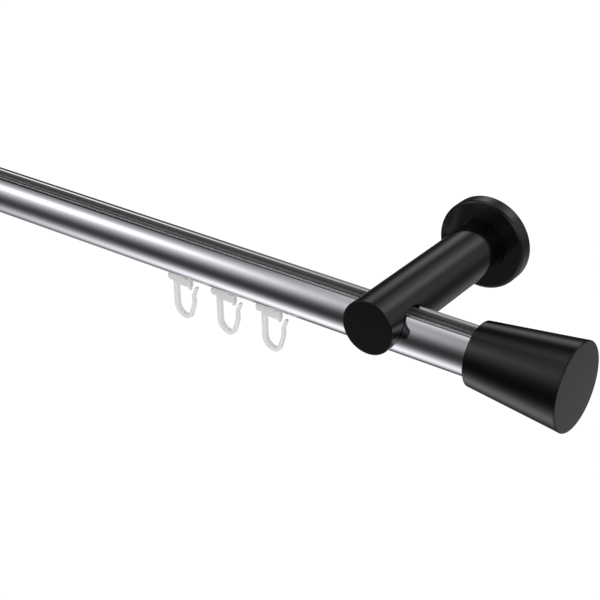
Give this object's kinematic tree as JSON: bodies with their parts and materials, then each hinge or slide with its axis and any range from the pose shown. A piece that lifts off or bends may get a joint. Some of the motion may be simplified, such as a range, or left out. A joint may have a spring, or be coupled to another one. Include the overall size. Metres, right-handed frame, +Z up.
{
  "type": "curtain rod",
  "caption": "Round chrome rod with an inner glider track, black wall brackets with round covers, flared black finials, and plastic gliders with curtain hooks.",
  "frame": {"origin": "on the wall plane, at the centre of the four screw holes, midway between the two brackets and level with their arms", "axes": "+X along the rod to the right seen from the room, +Y into the wall, +Z up"},
  "size_m": [1.0374, 0.0924, 0.0566],
  "materials": {
    "rod_chrome": "bright chrome-plated aluminium extrusion",
    "black_metal": "smooth glossy black powder coat",
    "disc_steel": "zinc-plated steel",
    "screw_steel": "plain steel",
    "stop_plastic": "natural nylon",
    "runner_plastic": "pale grey acetal",
    "hook_plastic": "pale grey translucent nylon"
  },
  "bodies": {
    "root": {"rod": "rod_chrome", "left_arm": "black_metal", "left_wall_disc": "disc_steel", "left_arm_screw": "screw_steel", "left_rod_screw": "screw_steel", "right_arm": "black_metal", "right_wall_disc": "disc_steel", "right_arm_screw": "screw_steel", "right_rod_screw": "screw_steel", "left_finial": "black_metal", "left_finial_screw": "screw_steel", "right_finial": "black_metal", "right_finial_screw": "screw_steel", "left_end_stop": "stop_plastic", "left_stop_screw": "screw_steel", "right_end_stop": "stop_plastic", "right_stop_screw": "screw_steel"},
    "left_cover": {"left_rosette": "black_metal"},
    "right_cover": {"right_rosette": "black_metal"},
    "glider_01": {"runner_01": "runner_plastic", "hook_01": "hook_plastic"},
    "glider_02": {"runner_02": "runner_plastic", "hook_02": "hook_plastic"},
    "glider_03": {"runner_03": "runner_plastic", "hook_03": "hook_plastic"},
    "glider_04": {"runner_04": "runner_plastic", "hook_04": "hook_plastic"},
    "glider_05": {"runner_05": "runner_plastic", "hook_05": "hook_plastic"},
    "glider_06": {"runner_06": "runner_plastic", "hook_06": "hook_plastic"},
    "glider_07": {"runner_07": "runner_plastic", "hook_07": "hook_plastic"},
    "glider_08": {"runner_08": "runner_plastic", "hook_08": "hook_plastic"},
    "glider_09": {"runner_09": "runner_plastic", "hook_09": "hook_plastic"},
    "glider_10": {"runner_10": "runner_plastic", "hook_10": "hook_plastic"}
  },
  "joints": [
    {"name": "left_cover_slide", "type": "slide", "parent": "root", "child": "left_cover", "axis": [0, 1, 0], "range_m": [-0.045, 0]},
    {"name": "right_cover_slide", "type": "slide", "parent": "root", "child": "right_cover", "axis": [0, 1, 0], "range_m": [-0.045, 0]},
    {"name": "glider_01_slide", "type": "slide", "parent": "root", "child": "glider_01", "axis": [1, 0, 0], "range_m": [-0.0589, 0.0798]},
    {"name": "glider_02_slide", "type": "slide", "parent": "root", "child": "glider_02", "axis": [1, 0, 0], "range_m": [-0.0798, 0.0798]},
    {"name": "glider_03_slide", "type": "slide", "parent": "root", "child": "glider_03", "axis": [1, 0, 0], "range_m": [-0.0798, 0.0798]},
    {"name": "glider_04_slide", "type": "slide", "parent": "root", "child": "glider_04", "axis": [1, 0, 0], "range_m": [-0.0798, 0.0798]},
    {"name": "glider_05_slide", "type": "slide", "parent": "root", "child": "glider_05", "axis": [1, 0, 0], "range_m": [-0.0798, 0.0798]},
    {"name": "glider_06_slide", "type": "slide", "parent": "root", "child": "glider_06", "axis": [1, 0, 0], "range_m": [-0.0798, 0.0798]},
    {"name": "glider_07_slide", "type": "slide", "parent": "root", "child": "glider_07", "axis": [1, 0, 0], "range_m": [-0.0798, 0.1364]},
    {"name": "glider_08_slide", "type": "slide", "parent": "root", "child": "glider_08", "axis": [1, 0, 0], "range_m": [-0.1364, 0.0079]},
    {"name": "glider_09_slide", "type": "slide", "parent": "root", "child": "glider_09", "axis": [1, 0, 0], "range_m": [-0.0079, 0.0079]},
    {"name": "glider_10_slide", "type": "slide", "parent": "root", "child": "glider_10", "axis": [1, 0, 0], "range_m": [-0.0079, 0.0739]}
  ]
}
